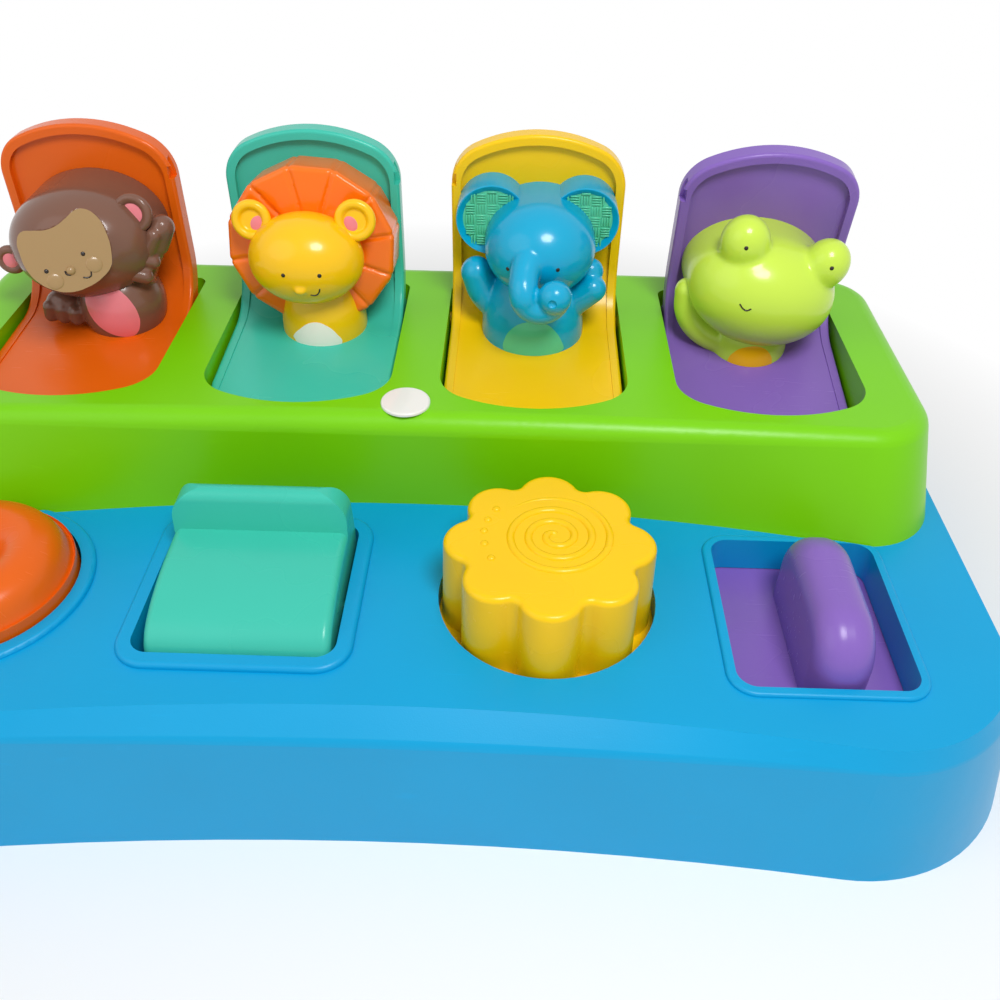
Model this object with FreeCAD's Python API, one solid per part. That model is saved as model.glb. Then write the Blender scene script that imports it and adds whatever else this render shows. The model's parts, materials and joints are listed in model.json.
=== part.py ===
"""Pop-up animal toy: a blue base with four toddler controls and a green housing
whose four sprung doors each lift an animal figure.  Millimetres, +Z up, +Y to
the rear; the origin is on the table under the middle of the base."""
import FreeCAD
import Part
import math
import os

V = FreeCAD.Vector
X_AXIS = V(1, 0, 0)
Z_AXIS = V(0, 0, 1)

# ---------------------------------------------------------------- driving sizes
depth = 217.0            # front of the corners to the back, at the table
floor_half = 184.0       # half width at the table
crease_half = floor_half - 10.0      # half width where the side turns into the bevel
deck_half = crease_half - 3.5        # half width at the deck
crease_z = 43.0
deck_z = 48.8
wall = 2.5               # moulding thickness of base, housing and cover
floor_bow = 1150.0       # radius of the hollowed front edge at the table
crease_bow = 2000.0
deck_bow = 870.0
corner_r = 52.0
crease_r = 3.0           # softening of the two front creases
crease_setback = 1.4     # front crease behind the table edge, at the middle
deck_setback = 9.6       # deck edge behind the table edge, at the middle

housing_half = deck_half - 3.5       # half width of the green housing on the deck
housing_draft = 5.0                  # how much narrower its top is on each side
housing_front = -10.0    # its front on the deck, at the middle
housing_top_front = -9.5
housing_bow = 690.0
housing_top_bow = 9000.0
housing_r = 24.0
front_gap = 0.4          # between the housing's front and the ring's surround
housing_rear = 101.0
housing_top_rear = 93.0
housing_z = 81.4
housing_edge_r = 6.0

door_pitch = 76.0
door_w = 58.5
door_len = 67.0          # hinge axis to the panel's tip
door_gap = 1.0           # all round the closed door
door_arch = 50.0         # radius of the panel's arched tip
door_corner_r = 14.0
door_thick = 6.0         # rim to back
door_skin = 3.8          # thickness left behind the panel's recess
door_rim = 3.2           # width of the raised rim
floor_lip = 0.4          # what is left of the rim along the floor
door_bend = 17.0         # inner radius between panel and floor
rim_soft = 1.1           # softening of the rim's outer edge
floor_slope = 3.0        # degrees, down to the front
short_of_open = {1.5: 8.5}           # degrees by which the purple door stands short of fully open
opening_rear_r = 4.0
panel_front = 1.0        # rim face behind the hinge axis
floor_rise = 5.1         # rim line of the floor above the axis, at the panel
hinge_y = 66.5
hinge_z = 74.0
pin_r = 2.5
pin_clear = 0.1
ear_r = 6.6
skirt_depth = 17.0
opening_rear = 79.0

latch_t = 3.5            # thickness of a latch bar
latch_gap = 0.3
latch_throw = 4.0
latch_w = 8.0            # width of its upright
nose_w = 3.5
nose_z = 76.4
nose_h = 2.0
nose_reach = 1.4         # how far it enters the door's rim
nose_y = 9.0

cover_t = 2.5
seat_z = 2.6             # the cover's screw heads sit this deep
seat_top = 5.0           # where cover and base bosses meet
head_h = 2.0
head_r = 3.6
run_gap = 0.3            # between a sliding piece and its guide

badge_x, badge_y = -1.7, -0.4
badge_r = 7.7
badge_t = 1.0
badge_soft = 0.6
ring_x, ring_y = -124.2, -52.2
ring_r = 29.4
ring_gap = 0.8           # round the ring in its hole
ring_travel = 5.0
flap_x = -42.0
flap_w = 51.5
flap_front, flap_rear = -76.3, -25.5
flap_tab_z = 71.7        # top of the rocker's tab
flap_tab_r = 9.0
flap_axis_y, flap_axis_z = -51.0, 42.0
knob_x, knob_y = 43.0, -49.5
knob_r = 29.8
knob_z = 70.0
slot_x0, slot_x1 = 93.5, 143.0
slot_y0, slot_y1 = -82.5, -24.5
slot_floor = 38.0        # top of the slider's plate
fin_x = 122.0
fin_w = 17.0
fin_front, fin_rear = -81.2, -30.0
fin_z = 65.2
fin_end_r = 15.0         # rounding of its front and rear shoulders
fin_soft_r = 7.4         # rounding along its top

doors = [("orange", -1.5), ("teal", -0.5), ("yellow", 0.5), ("purple", 1.5)]


def door_x(place):
    return place * door_pitch


def side(place):
    """+1 where the door's latch is on its right, -1 on its left: towards the middle."""
    return -1.0 if place > 0 else 1.0


# ---------------------------------------------------------------- helpers
def edges(shape, test):
    return [e for e in shape.Edges if test(e)]


def on_level(z):
    return lambda e: abs(e.BoundBox.ZMin - z) < 1e-3 and abs(e.BoundBox.ZMax - z) < 1e-3


def outline(half, front, bow, front_r, rear, rear_r, z):
    """Plan outline: front edge hollowed to the radius bow, rounded corners, straight back."""
    bow_y = front - bow
    cx = half - front_r
    cy = bow_y + math.sqrt((bow + front_r) ** 2 - cx ** 2)
    k = bow / (bow + front_r)
    tx = cx * k
    ty = bow_y + (cy - bow_y) * k
    turn = math.atan2(bow_y - cy, -cx) / 2
    mx = cx + front_r * math.cos(turn)
    my = cy + front_r * math.sin(turn)
    q = rear_r * (1 - math.sqrt(0.5))
    half_line = half - rear_r

    def p(x, y):
        return V(x, y, z)

    parts = [
        Part.Arc(p(-tx, ty), p(0, front), p(tx, ty)),
        Part.Arc(p(tx, ty), p(mx, my), p(half, cy)),
        Part.LineSegment(p(half, cy), p(half, rear - rear_r)),
        Part.Arc(p(half, rear - rear_r), p(half - q, rear - q), p(half_line, rear)),
        Part.LineSegment(p(half_line, rear), p(-half_line, rear)),
        Part.Arc(p(-half_line, rear), p(q - half, rear - q), p(-half, rear - rear_r)),
        Part.LineSegment(p(-half, rear - rear_r), p(-half, cy)),
        Part.Arc(p(-half, cy), p(-mx, my), p(-tx, ty)),
    ]
    return Part.Wire([c.toShape() for c in parts])


def slab(x0, x1, y0, y1, z0, z1, r):
    """Upright block with rounded corners in plan."""
    block = Part.makeBox(x1 - x0, y1 - y0, z1 - z0, V(x0, y0, z0))
    upright = edges(block, lambda e: e.BoundBox.ZLength > z1 - z0 - 1e-3)
    return block.makeFillet(r, upright)


def shield(half, tip, back, arch, corner, back_r, z0, z1):
    """Flat plate whose front is arched to a tip, with rounded corners in plan."""
    shoulder = tip + arch - math.sqrt(arch ** 2 - half ** 2)
    wire = Part.Wire([
        Part.Arc(V(-half, shoulder, z0), V(0, tip, z0), V(half, shoulder, z0)).toShape(),
        Part.makeLine(V(half, shoulder, z0), V(half, back, z0)),
        Part.makeLine(V(half, back, z0), V(-half, back, z0)),
        Part.makeLine(V(-half, back, z0), V(-half, shoulder, z0)),
    ])
    plate = Part.Face(wire).extrude(V(0, 0, z1 - z0))
    upright = edges(plate, lambda e: e.BoundBox.ZLength > z1 - z0 - 1e-3)
    front = [e for e in upright if e.BoundBox.YMax < shoulder + 1e-3]
    rear = [e for e in upright if e.BoundBox.YMin > back - 1e-3]
    plate = plate.makeFillet(corner, front)
    rear = edges(plate, lambda e: e.BoundBox.ZLength > z1 - z0 - 1e-3 and e.BoundBox.YMin > back - 1e-3)
    return plate.makeFillet(back_r, rear)


def round_top(block, r):
    return block.makeFillet(r, edges(block, on_level(block.BoundBox.ZMax)))


def disc(x, y, z0, z1, r):
    return Part.makeCylinder(r, z1 - z0, V(x, y, z0))


def rod(x0, x1, y, z, r):
    return Part.makeCylinder(r, x1 - x0, V(x0, y, z), X_AXIS)


def box(x0, x1, y0, y1, z0, z1):
    return Part.makeBox(x1 - x0, y1 - y0, z1 - z0, V(min(x0, x1), y0, z0))


def turned(points, x, y):
    """Revolve a closed half profile of (radius, height) points about the upright at x, y."""
    path = Part.makePolygon([V(r, 0, z) for r, z in points + points[:1]])
    solid = Part.Face(path).revolve(V(0, 0, 0), Z_AXIS, 360)
    solid.translate(V(x, y, 0))
    return solid


egg_seam = -40.0         # where an egg's two half turns meet, clear of the middle of its back


def egg(cx, cy, cz, along, across, axis, tilt=0.0):
    """Egg of two half turns: half length along on its axis, radius across; tilt rolls it to the right."""
    if along >= across:
        half = Part.Arc(Part.Ellipse(V(0, 0, 0), along, across), 0, math.pi)
    else:
        curve = Part.Ellipse(V(0, across, 0), V(-along, 0, 0), V(0, 0, 0))
        half = Part.Arc(curve, -math.pi / 2, math.pi / 2)
    chord = Part.makeLine(half.EndPoint, half.StartPoint)
    upper = Part.Face(Part.Wire([half.toShape(), chord])).revolve(V(0, 0, 0), X_AXIS, 180)
    lower = upper.copy()
    lower.rotate(V(0, 0, 0), X_AXIS, 180)
    solid = upper.fuse(lower)
    solid.rotate(V(0, 0, 0), X_AXIS, egg_seam)
    if axis == "z":
        solid.rotate(V(0, 0, 0), V(0, 1, 0), -90)
    solid.rotate(V(0, 0, 0), V(0, 1, 0), tilt)
    solid.translate(V(cx, cy, cz))
    return solid


def fuse(first, *others):
    return first.fuse(list(others)).removeSplitter()


# ---------------------------------------------------------------- base
def front_mid():
    """Middle of the table edge, so that the corners and the back stand equally far out."""
    span = floor_bow + corner_r
    return span - depth / 2 - math.sqrt(span ** 2 - (floor_half - corner_r) ** 2)


def base_block(inset, bottom, drop):
    """The base's outer form, or its inside when inset by the wall."""
    f = front_mid() + inset
    rear = depth / 2 - inset
    r = corner_r - inset
    levels = [
        outline(floor_half - inset, f, floor_bow, r, rear, 30 - inset, bottom),
        outline(crease_half - inset, f + crease_setback, crease_bow, r - 8, rear - 2, 26 - inset,
                crease_z - drop / 2),
        outline(deck_half - inset, f + deck_setback, deck_bow, r - 12, rear - 5, 22 - inset,
                deck_z - drop),
    ]
    return Part.makeLoft(levels, True, True)


def screw_places():
    y_rear = depth / 2 - 14
    y_front = -depth / 2 + 22
    return [(-150, y_rear), (0, y_rear), (150, y_rear), (-66, y_front), (0, y_front), (66, y_front)]


def housing_screw_places():
    x = door_x(1.5) + door_w / 2 + door_gap + wall + 7
    return [(sx * x, y) for sx in (-1, 1) for y in (12, 58)]


ring_hole = ring_r + ring_gap
flap_hole = (flap_x - flap_w / 2 - 3.5, flap_x + flap_w / 2 + 1.5, flap_front - 1.2, flap_rear + 2.5)
knob_hole = knob_r + 1.8
skirt_z = 34.0
knob_skirt_z = 41.2      # its flange turns just above the slider's plate


def base_shell():
    block = base_block(0, 0, 0)
    block = block.makeFillet(crease_r, edges(block, on_level(crease_z)))
    shell = block.cut(base_block(wall, 0, wall))
    x0, x1, y0, y1 = flap_hole
    ahead = disc(0, housing_front - housing_bow, deck_z - 1, deck_z + 5, housing_bow - front_gap)
    raised = [
        round_top(disc(ring_x, ring_y, deck_z - 1, deck_z + 1.6, ring_hole + 4), 1.2),
        round_top(slab(x0 - 4.5, x1 + 4.5, y0 - 4.5, y1 + 4.5, deck_z - 1, deck_z + 1.8, 10), 1.5),
        round_top(slab(slot_x0 - 2.7, slot_x1 + 2.7, slot_y0 - 2.7, slot_y1 + 2.7,
                       deck_z - 1, deck_z + 1.2, 8), 1.0),
    ]
    skirts = [
        disc(ring_x, ring_y, skirt_z, deck_z, ring_hole + wall),
        disc(knob_x, knob_y, knob_skirt_z, deck_z, knob_hole + wall),
        slab(x0 - wall, x1 + wall, y0 - wall, y1 + wall, skirt_z, deck_z, 8),
        slab(slot_x0 - wall, slot_x1 + wall, slot_y0 - wall, slot_y1 + wall,
             slot_floor + run_gap, deck_z, 6),
    ]
    bosses = [disc(x, y, seat_top, deck_z - 1, 4.5) for x, y in screw_places()]
    shell = fuse(shell, *[rim.common(ahead) for rim in raised], *skirts, *bosses)
    holes = [
        disc(ring_x, ring_y, 0, 60, ring_hole),
        slab(x0, x1, y0, y1, 0, 60, 5.5),
        slab(slot_x0, slot_x1, slot_y0, slot_y1, 0, 60, 5.5),
        disc(knob_x, knob_y, 0, 60, knob_hole),
        slab(-148, 148, -4.5, 88, 30, 60, 6),
        rod(x0 - 10, x1 + 10, flap_axis_y, flap_axis_z, pin_r + pin_clear),
    ]
    holes += [disc(x, y, 0, 16, 1.5) for x, y in screw_places()]
    holes += [disc(x, y, 40, 60, 2.2) for x, y in housing_screw_places()]
    return shell.cut(Part.makeCompound(holes))


def bottom_cover():
    inset = wall + run_gap
    f = front_mid() + inset
    plate_wire = outline(floor_half - inset - 0.5, f + 0.2, floor_bow, corner_r - inset, depth / 2 - inset - 0.2,
                         30 - inset, 0)
    plate = Part.Face(plate_wire).extrude(V(0, 0, cover_t))
    posts = [guide_post(*place) for place in latch_guides()]
    for x in (slot_x0 + 8, slot_x1 - 8):
        for y in (slot_y0 - 1, slot_y1 + 1):
            posts.append(disc(x, y, 0, slot_floor - wall - run_gap, 3.5))
    posts.append(disc(ring_x, ring_y, 0, 24, 6))
    posts.append(disc(knob_x, knob_y, 0, 30, 5))
    posts += [disc(x, y, 0, seat_top, head_r + 2.2) for x, y in screw_places()]
    cover = fuse(plate, *posts)
    holes = [disc(x, y, -1, seat_top + 1, 2.2) for x, y in screw_places()]
    holes += [disc(x, y, -1, seat_z, head_r + 0.5) for x, y in screw_places()]
    return cover.cut(Part.makeCompound(holes))


def latch_bar_x(place):
    """Low and high x of a latch bar, beside the skirt of its door's opening."""
    near = door_x(place) + side(place) * (door_w / 2 + door_gap + wall + latch_gap)
    far = near + side(place) * latch_t
    return min(near, far), max(near, far)


arm_z0, arm_z1 = 26.0, 32.0
arm_front = -34.0


def latch_guides():
    return [(place, y) for _, place in doors for y in (-22.0, -4.0)]


def guide_post(place, y):
    """Forked post that carries a latch bar's arm."""
    x0, x1 = latch_bar_x(place)
    post = box(x0 - 2.3, x1 + 2.3, y - 3, y + 3, 0, arm_z0 + 3)
    slot = box(x0 - run_gap, x1 + run_gap, y - 4, y + 4, arm_z0 - run_gap, arm_z0 + 4)
    return post.cut(slot)


def latch(place):
    """Bar that slides to the rear to let its door go: arm, upright, nose and cam foot."""
    x0, x1 = latch_bar_x(place)
    s = side(place)
    arm = box(x0, x1, arm_front, nose_y + latch_w, arm_z0, arm_z1)
    upright = box(x0, x1, nose_y, nose_y + latch_w, arm_z0, nose_z + nose_h)
    tip = door_x(place) + s * (door_w / 2 - nose_reach)
    nose = box(min(tip, x0), max(tip, x1), nose_y, nose_y + nose_w, nose_z, nose_z + nose_h)
    toe = (x1 if s > 0 else x0) - s * 20 if place in (-1.5, -0.5) else x1 + 14
    foot = box(min(toe, x0), max(toe, x1), arm_front, arm_front + 4, arm_z0, arm_z1)
    return fuse(arm, upright, nose, foot)


# ---------------------------------------------------------------- housing
def opening(place, grow, z0, z1):
    """The space of one door opening, wider by grow."""
    half = door_w / 2 + door_gap + grow
    tip = hinge_y - door_len - door_gap - grow
    space = shield(half, tip, opening_rear + grow, door_arch + door_gap + grow, door_corner_r + grow,
                   opening_rear_r + grow, z0, z1)
    space.translate(V(door_x(place), 0, 0))
    return space


def housing_block(inset, bottom, top):
    lower = outline(housing_half - inset, housing_front + inset, housing_bow, housing_r - inset,
                    housing_rear - inset, 20 - inset, bottom)
    upper = outline(housing_half - housing_draft - inset, housing_top_front + inset, housing_top_bow,
                    housing_r - 4 - inset, housing_top_rear - inset, 16 - inset, top)
    return Part.makeLoft([lower, upper], True, True)


def green_housing():
    block = round_top(housing_block(0, deck_z, housing_z), housing_edge_r)
    shell = block.cut(housing_block(wall, deck_z, housing_z - wall))
    skirts = [opening(p, wall, housing_z - skirt_depth, housing_z - 1) for _, p in doors]
    bosses = [disc(x, y, deck_z, housing_z - 1, 4.0) for x, y in housing_screw_places()]
    shell = fuse(shell, *skirts, *bosses)
    cuts = [opening(p, 0, 40, 90) for _, p in doors]
    reach = door_w / 2 + door_gap + wall + 1
    cuts += [rod(door_x(p) - reach, door_x(p) + reach, hinge_y, hinge_z, pin_r + pin_clear)
             for _, p in doors]
    cuts += [nose_window(p) for _, p in doors]
    cuts += [disc(x, y, deck_z - 1, deck_z + 14, 1.5) for x, y in housing_screw_places()]
    return shell.cut(Part.makeCompound(cuts))


def nose_window(place):
    s = side(place)
    c = door_x(place)
    a = c + s * (door_w / 2 - 4)
    b = c + s * (door_w / 2 + door_gap + wall + 0.2)
    return box(min(a, b), max(a, b), nose_y - 0.5, nose_y + nose_w + latch_throw + 0.5,
               nose_z - 0.3, nose_z + nose_h + 0.3)


# ---------------------------------------------------------------- doors
def door_profile(front, rise, thick, low_end, top):
    """Side view of a bent plate as points (y, z): panel up, floor forward."""
    t = math.tan(math.radians(floor_slope))
    lean = thick / math.cos(math.radians(floor_slope))
    y1 = hinge_y + front
    z1 = hinge_z + rise
    y0 = low_end

    def z_at(y, down):
        return z1 - (y1 - y) * t - down

    return [(y1, top), (y1 + thick, top), (y1 + thick, z_at(y1 + thick, lean)),
            (y0, z_at(y0, lean)), (y0, z_at(y0, 0)), (y1, z1)]


def along_x(points, x0, x1):
    wire = Part.makePolygon([V(x0, y, z) for y, z in points + points[:1]])
    return Part.Face(wire).extrude(V(x1 - x0, 0, 0))


def bend_edge(shape, y, z):
    return edges(shape, lambda e: e.BoundBox.XLength > 20
                 and abs(e.BoundBox.YMin - y) < 0.01 and abs(e.BoundBox.ZMin - z) < 0.01
                 and e.BoundBox.YLength < 0.01)


def recess(half, top):
    """The space in front of the recessed faces of panel and floor."""
    t = math.tan(math.radians(floor_slope))
    drop = floor_lip / math.cos(math.radians(floor_slope))
    deep = door_thick - door_skin
    y1 = hinge_y + panel_front + deep
    z1 = hinge_z + floor_rise + deep * t - drop
    far = hinge_y - door_len - 20
    tool = along_x([(y1, z1), (far, z1 - (y1 - far) * t), (far, top), (y1, top)], -half, half)
    return tool.makeFillet(door_bend + deep, bend_edge(tool, y1, z1))


def upright_shield(inset):
    """Column through the panel, shaped as its arched outline inset by so much."""
    column = shield(door_w / 2 - inset, -(hinge_z + door_len - inset), 90, door_arch - inset,
                    door_corner_r - inset, 1.0, hinge_y - 90, hinge_y + 60)
    column.rotate(V(0, 0, 0), X_AXIS, -90)
    return column


def lean_door(shape, place):
    """Turn a piece of a door by what the door is short of fully open."""
    shape.rotate(V(0, hinge_y, hinge_z), X_AXIS, short_of_open.get(place, 0.0))
    return shape


def door_shell(place):
    """Bent door: panel with a raised rim, floor for the figure, ears and stub pivots."""
    top = hinge_z + door_len
    low_end = hinge_y - door_len + 0.5
    half = door_w / 2
    points = door_profile(panel_front, floor_rise, door_thick, low_end, top)
    plate = along_x(points, -half, half)
    plate = plate.makeFillet(door_bend + door_thick, bend_edge(plate, *points[2]))
    plate = plate.makeFillet(door_bend, bend_edge(plate, *points[5]))
    plate = plate.common(upright_shield(0.0))
    plate = plate.common(shield(half, low_end, hinge_y + 60, door_arch, door_corner_r, 1.0, 0, top + 10))
    rim_y = hinge_y + panel_front
    arch = edges(plate, lambda e: abs(e.BoundBox.YMax - rim_y) < 1e-3 and e.BoundBox.YLength < 1e-3
                 and e.BoundBox.ZMax > top - 0.01)
    plate = plate.makeFillet(rim_soft, arch[:1])
    plate = plate.cut(recess(half, top + 20).common(upright_shield(door_rim)))
    ears = [rod(s * half - (3.5 if s > 0 else 0), s * half + (0 if s > 0 else 3.5), hinge_y, hinge_z, ear_r)
            for s in (-1, 1)]
    stub = half + door_gap + wall
    pins = [rod(-stub - 1.5, -half, hinge_y, hinge_z, pin_r), rod(half, stub + 1.5, hinge_y, hinge_z, pin_r)]
    door = fuse(plate, *ears, *pins)
    s = side(place)
    inner = s * (half - nose_reach - 0.3)
    outer = s * (half + 1)
    hi_b = hinge_y - nose_y + 0.3
    lo_b = hinge_y - nose_y - nose_w - latch_throw - 0.5
    step = hinge_y - nose_y - nose_w - 0.3
    a0 = nose_z - hinge_z - 0.3
    a1 = nose_z + nose_h - hinge_z + 0.3
    pocket = box(min(inner, outer), max(inner, outer), hinge_y + a0, hinge_y + a1,
                 hinge_z + lo_b, hinge_z + hi_b)
    way_out = box(min(inner, outer), max(inner, outer), hinge_y - 1, hinge_y + a1,
                  hinge_z + lo_b, hinge_z + step)
    door = door.cut(pocket).cut(way_out)
    door.translate(V(door_x(place), 0, 0))
    return lean_door(door, place)


def behind_recess(place):
    """All that lies behind and below the recessed faces, to seat a figure on them."""
    block = box(-60, 60, hinge_y - 90, hinge_y + 60, hinge_z - 80, hinge_z + 100)
    rim = upright_shield(-4.0).cut(upright_shield(door_rim))
    rim = rim.common(box(-60, 60, hinge_y + panel_front, hinge_y + 60, hinge_z + 20, hinge_z + 100))
    tool = block.cut(recess(70, hinge_z + 150)).fuse(rim)
    tool.translate(V(door_x(place), 0, 0))
    return lean_door(tool, place)


def spring(x, y, z, radius, wire, pitch, turns, axis):
    """Helical spring of round wire along axis."""
    path = Part.makeHelix(pitch, pitch * turns, radius)
    corners = [V(radius + wire / 2 * math.cos(a), 0, wire / 2 * math.sin(a))
               for a in (math.pi * k / 3 for k in range(7))]
    ring = Part.makePolygon(corners)
    coil = Part.Wire(path.Edges).makePipeShell([ring], True, True)
    if axis == "x":
        coil.rotate(V(0, 0, 0), V(0, 1, 0), 90)
    coil.translate(V(x, y, z))
    return coil


# ---------------------------------------------------------------- controls
def ring_button():
    """Domed ring with a dished middle, hollow below, with a stem tube round its post."""
    r = ring_r
    crest = Part.BSplineCurve()
    crest.interpolate([V(x, 0, z) for x, z in
                       [(0, 52.0), (4.5, 53.2), (8.5, 57.5), (12.5, 61.6), (17.5, 63.3), (22.5, 61.9),
                        (26.5, 57.8), (28.8, 52.8), (r, 48.0)]],
                      InitialTangent=V(1, 0, 0), FinalTangent=V(0, 0, -1))
    low = skirt_z + ring_travel + 2
    inside = [(r, low), (r - 2.2, low), (r - 2.2, 49.0), (24.5, 55.6), (20.5, 59.4), (15, 59.4), (10.5, 55.5),
              (6.6, 50.5), (0, 49.6)]
    lower = Part.makePolygon([V(x, 0, z) for x, z in [(r, 48.0)] + inside + [(0, 52.0)]])
    cap = Part.Face(Part.Wire([crest.toShape()] + lower.Edges)).revolve(V(0, 0, 0), Z_AXIS, 360)
    cap.translate(V(ring_x, ring_y, 0))
    tube = disc(ring_x, ring_y, 30, 51, 8.6).cut(disc(ring_x, ring_y, 29, 49.8, 6 + run_gap))
    return fuse(cap, tube)


def flap():
    """Rocker: a bulging pad in front and an upright tab behind, on two stub pivots."""
    y0, y1 = flap_front, flap_rear
    half = flap_w / 2
    line = Part.BSplineCurve()
    line.interpolate([V(0, y0, 47.5), V(0, y0 + 3.2, 52.5), V(0, y0 + 12, 56.6), V(0, y0 + 26, 58.9),
                      V(0, y0 + 39.5, 59.2)])
    tab_y = y0 + 39.5
    tab_low = flap_tab_z - 3.2
    body = Part.Wire([
        line.toShape(),
        Part.makeLine(V(0, tab_y, 59.2), V(0, tab_y + 1.2, tab_low)),
        Part.Arc(V(0, tab_y + 1.2, tab_low), V(0, tab_y + 4.6, flap_tab_z), V(0, tab_y + 8.2, tab_low)).toShape(),
        Part.makeLine(V(0, tab_y + 8.2, tab_low), V(0, y1, 50)),
        Part.makeLine(V(0, y1, 50), V(0, y1, 37)),
        Part.makeLine(V(0, y1, 37), V(0, y0 + 1, 37)),
        Part.makeLine(V(0, y0 + 1, 37), V(0, y0, 47.5)),
    ])
    pad = Part.Face(body).extrude(V(flap_w, 0, 0))
    pad.translate(V(-half, 0, 0))
    upper = edges(pad, lambda e: e.BoundBox.XLength < 0.01 and e.BoundBox.ZMin > 47.4
                  and e.BoundBox.YMax < tab_y + 0.01)
    pad = pad.makeFillet(2.4, upper)
    frame = box(-half, half, y0 - 1, y1 + 1, 30, flap_tab_z)
    frame = frame.makeFillet(flap_tab_r, edges(frame, lambda e: e.BoundBox.ZMin > flap_tab_z - 0.01
                                               and e.BoundBox.YLength > 1))
    pad = pad.common(frame)
    hollow = slab(-half + wall, half - wall, y0 + 4, y1 - wall, 30, 51, 3)
    pins = [rod(-half - 3.6, -half + 1, flap_axis_y, flap_axis_z, pin_r),
            rod(half - 1, half + 3.6, flap_axis_y, flap_axis_z, pin_r)]
    pad = fuse(pad.cut(hollow), *pins)
    pad.translate(V(flap_x, 0, 0))
    return pad


def flower_outline(r, z, petals=8, petal_r=9.0, valley_r=3.0):
    """Eight round petals joined by small hollows, all tangent."""
    far = r - petal_r
    half_turn = math.pi / petals
    reach = petal_r + valley_r
    e = far * math.cos(half_turn) + math.sqrt(reach ** 2 - (far * math.sin(half_turn)) ** 2)

    def at(rad, ang):
        return V(rad * math.cos(ang), rad * math.sin(ang), z)

    arcs = []
    for i in range(petals):
        a = 2 * math.pi * i / petals
        c = at(far, a)
        before, after = at(e, a - half_turn), at(e, a + half_turn)
        start = c + (before - c) * (petal_r / reach)
        end = c + (after - c) * (petal_r / reach)
        arcs.append(Part.Arc(start, at(r, a), end))
        nxt = at(far, a + 2 * half_turn)
        goal = nxt + (after - nxt) * (petal_r / reach)
        arcs.append(Part.Arc(end, at(e - valley_r, a + half_turn), goal))
    return Part.Wire([arc.toShape() for arc in arcs])


def flower_knob():
    flange_z = knob_skirt_z - run_gap
    lower, upper = flower_outline(knob_r + 0.8, flange_z - 1), flower_outline(knob_r, knob_z)
    bloom = round_top(Part.makeLoft([lower, upper], True, True), 1.8)
    flange = disc(0, 0, flange_z - 2.4, flange_z, knob_hole + wall)
    hollow = disc(0, 0, 30, knob_z - 3, 19)
    tube = disc(0, 0, 31, knob_z - 2, 7.5).cut(disc(0, 0, 30, knob_z - 6, 5 + run_gap))
    knob = fuse(fuse(bloom, flange).cut(hollow), tube)
    knob.translate(V(knob_x, knob_y, 0))
    return knob


slide_travel = 17.0      # to the left of rest


def slider():
    """Plate that always closes the pocket's floor, with an upright rounded fin."""
    plate = slab(slot_x0 - 2, slot_x1 + slide_travel + 1.5, slot_y0 - 4, slot_y1 + 4,
                 slot_floor - wall, slot_floor, 4)
    fin = box(fin_x - fin_w / 2, fin_x + fin_w / 2, fin_front, fin_rear, slot_floor - 1, fin_z)
    fin = fin.makeFillet(fin_end_r, edges(fin, lambda e: e.BoundBox.XLength > 1 and e.BoundBox.ZMin > fin_z - 0.01))
    fin = fin.makeFillet(fin_soft_r, edges(fin, lambda e: e.BoundBox.XLength < 1e-3
                                           and e.BoundBox.ZMax > slot_floor + 5))
    return fuse(plate, fin)


def screws(places, z, up):
    """Pan head screws: head below, shank up."""
    solids = []
    for x, y in places:
        head = disc(x, y, z - head_h, z, head_r)
        shank = disc(x, y, z, z + up, 1.45)
        solids.append(fuse(head, shank))
    return Part.makeCompound(solids)


# ---------------------------------------------------------------- figures
def leaning_disc(cx, cy, cz, r, thick, lean):
    """Thick round plate that faces the front, leaning back by lean degrees, with soft edges."""
    plate = Part.makeCylinder(r, thick, V(0, thick / 2, 0), V(0, -1, 0))
    plate = plate.makeFillet(thick * 0.3, plate.Edges[:1] + plate.Edges[2:])
    plate.rotate(V(0, 0, 0), X_AXIS, -lean)
    plate.translate(V(cx, cy, cz))
    return plate


panel_reach = hinge_y + 14.0         # depth to which forms run into a panel before they are seated


def mane(cx, cy, cz, half_x, half_z, lean, locks=12):
    """Thick oval plate, leaning back into the panel, with grooves that part its locks."""
    rim = Part.Wire(Part.Ellipse(V(0, 0, 0), half_x, half_z).toShape())
    plate = Part.Face(rim).extrude(V(0, 0, panel_reach - cy + 8))
    plate.rotate(V(0, 0, 0), X_AXIS, -90)
    for i in range(locks):
        a = 2 * math.pi * (i + 0.5) / locks
        at = V(half_x * math.cos(a), 0, half_z * math.sin(a))
        notch = Part.makeCylinder(0.9, 60, at + V(0, -1, 0), V(0, 1, 0))
        plate = plate.cut(notch)
    plate.rotate(V(0, 0, 0), X_AXIS, -lean)
    plate.translate(V(cx, cy, cz))
    return plate


def round_ear(cx, cy, cz, r, hollow_r, hollow):
    """Thick round ear that runs back into the panel, hollowed in front."""
    plate = Part.makeCylinder(r, panel_reach - cy, V(cx, cy, cz), V(0, 1, 0))
    plate = plate.makeFillet(1.2, edges(plate, lambda e: e.BoundBox.YMax < cy + 1e-3))
    return plate.cut(Part.makeCylinder(hollow_r, hollow, V(cx, cy, cz), V(0, 1, 0)))


def torso(cx, cy, low, high, r, shoulder):
    """Rounded standing body, wider at the bottom."""
    profile = [(0, low), (r, low), (r, low + 8), (r * 0.97, low + 14), (r * 0.88, low + 20),
               (shoulder, high), (0, high)]
    return turned(profile, cx, cy)


body_low = hinge_z - 2.0             # depth to which bodies run into a floor before they are seated


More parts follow.
